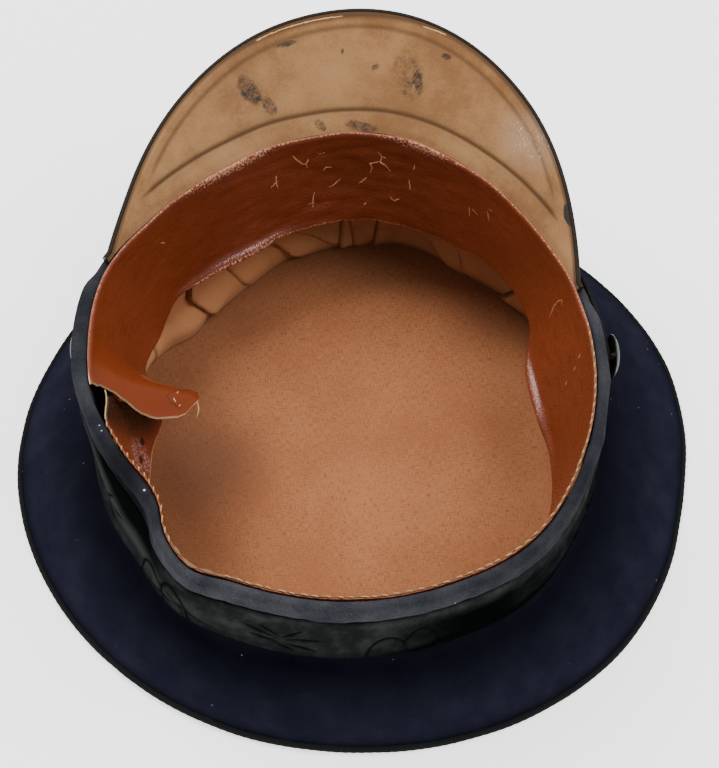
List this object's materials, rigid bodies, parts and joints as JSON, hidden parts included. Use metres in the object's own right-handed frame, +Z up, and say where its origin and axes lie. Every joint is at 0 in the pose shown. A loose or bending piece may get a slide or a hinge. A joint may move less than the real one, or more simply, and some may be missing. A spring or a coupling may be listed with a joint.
{
  "type": "peaked cap",
  "caption": "Navy cloth peaked cap lying upside down on its crown, with a leather sweatband, cotton lining, braid-covered band, patent peak, chin strap and side buttons.",
  "frame": {"origin": "middle of the crown's flat outer face, on the surface that the cap lies on", "axes": "+Z up out of the head opening, +Y towards the peak, +X towards the cap's left side as it is worn"},
  "size_m": [0.2459, 0.2495, 0.1037],
  "materials": {
    "navy_cloth": "napped wool",
    "black_welt": "matte",
    "navy_band_cloth": "worn napped wool",
    "black_braid": "ribbed mohair",
    "red_brown_leather": "glossy, cracked",
    "brown_cotton": "plain weave",
    "tan_cotton": "glazed, creased",
    "black_patent": "patent gloss",
    "tan_peak_lining": "satin, scuffed",
    "dark_strap_leather": "worn satin",
    "button_metal": "dull silvery"
  },
  "bodies": {
    "root": {"crown_top": "navy_cloth", "crown_piping": "black_welt", "crown_side": "navy_cloth", "band": "navy_band_cloth", "braid_band": "black_braid", "sweatband": "red_brown_leather", "crown_lining": "brown_cotton", "side_lining": "tan_cotton", "peak_top": "black_patent", "peak_lining": "tan_peak_lining", "chin_strap": "dark_strap_leather", "button_left": "button_metal", "button_right": "button_metal"}
  },
  "joints": []
}
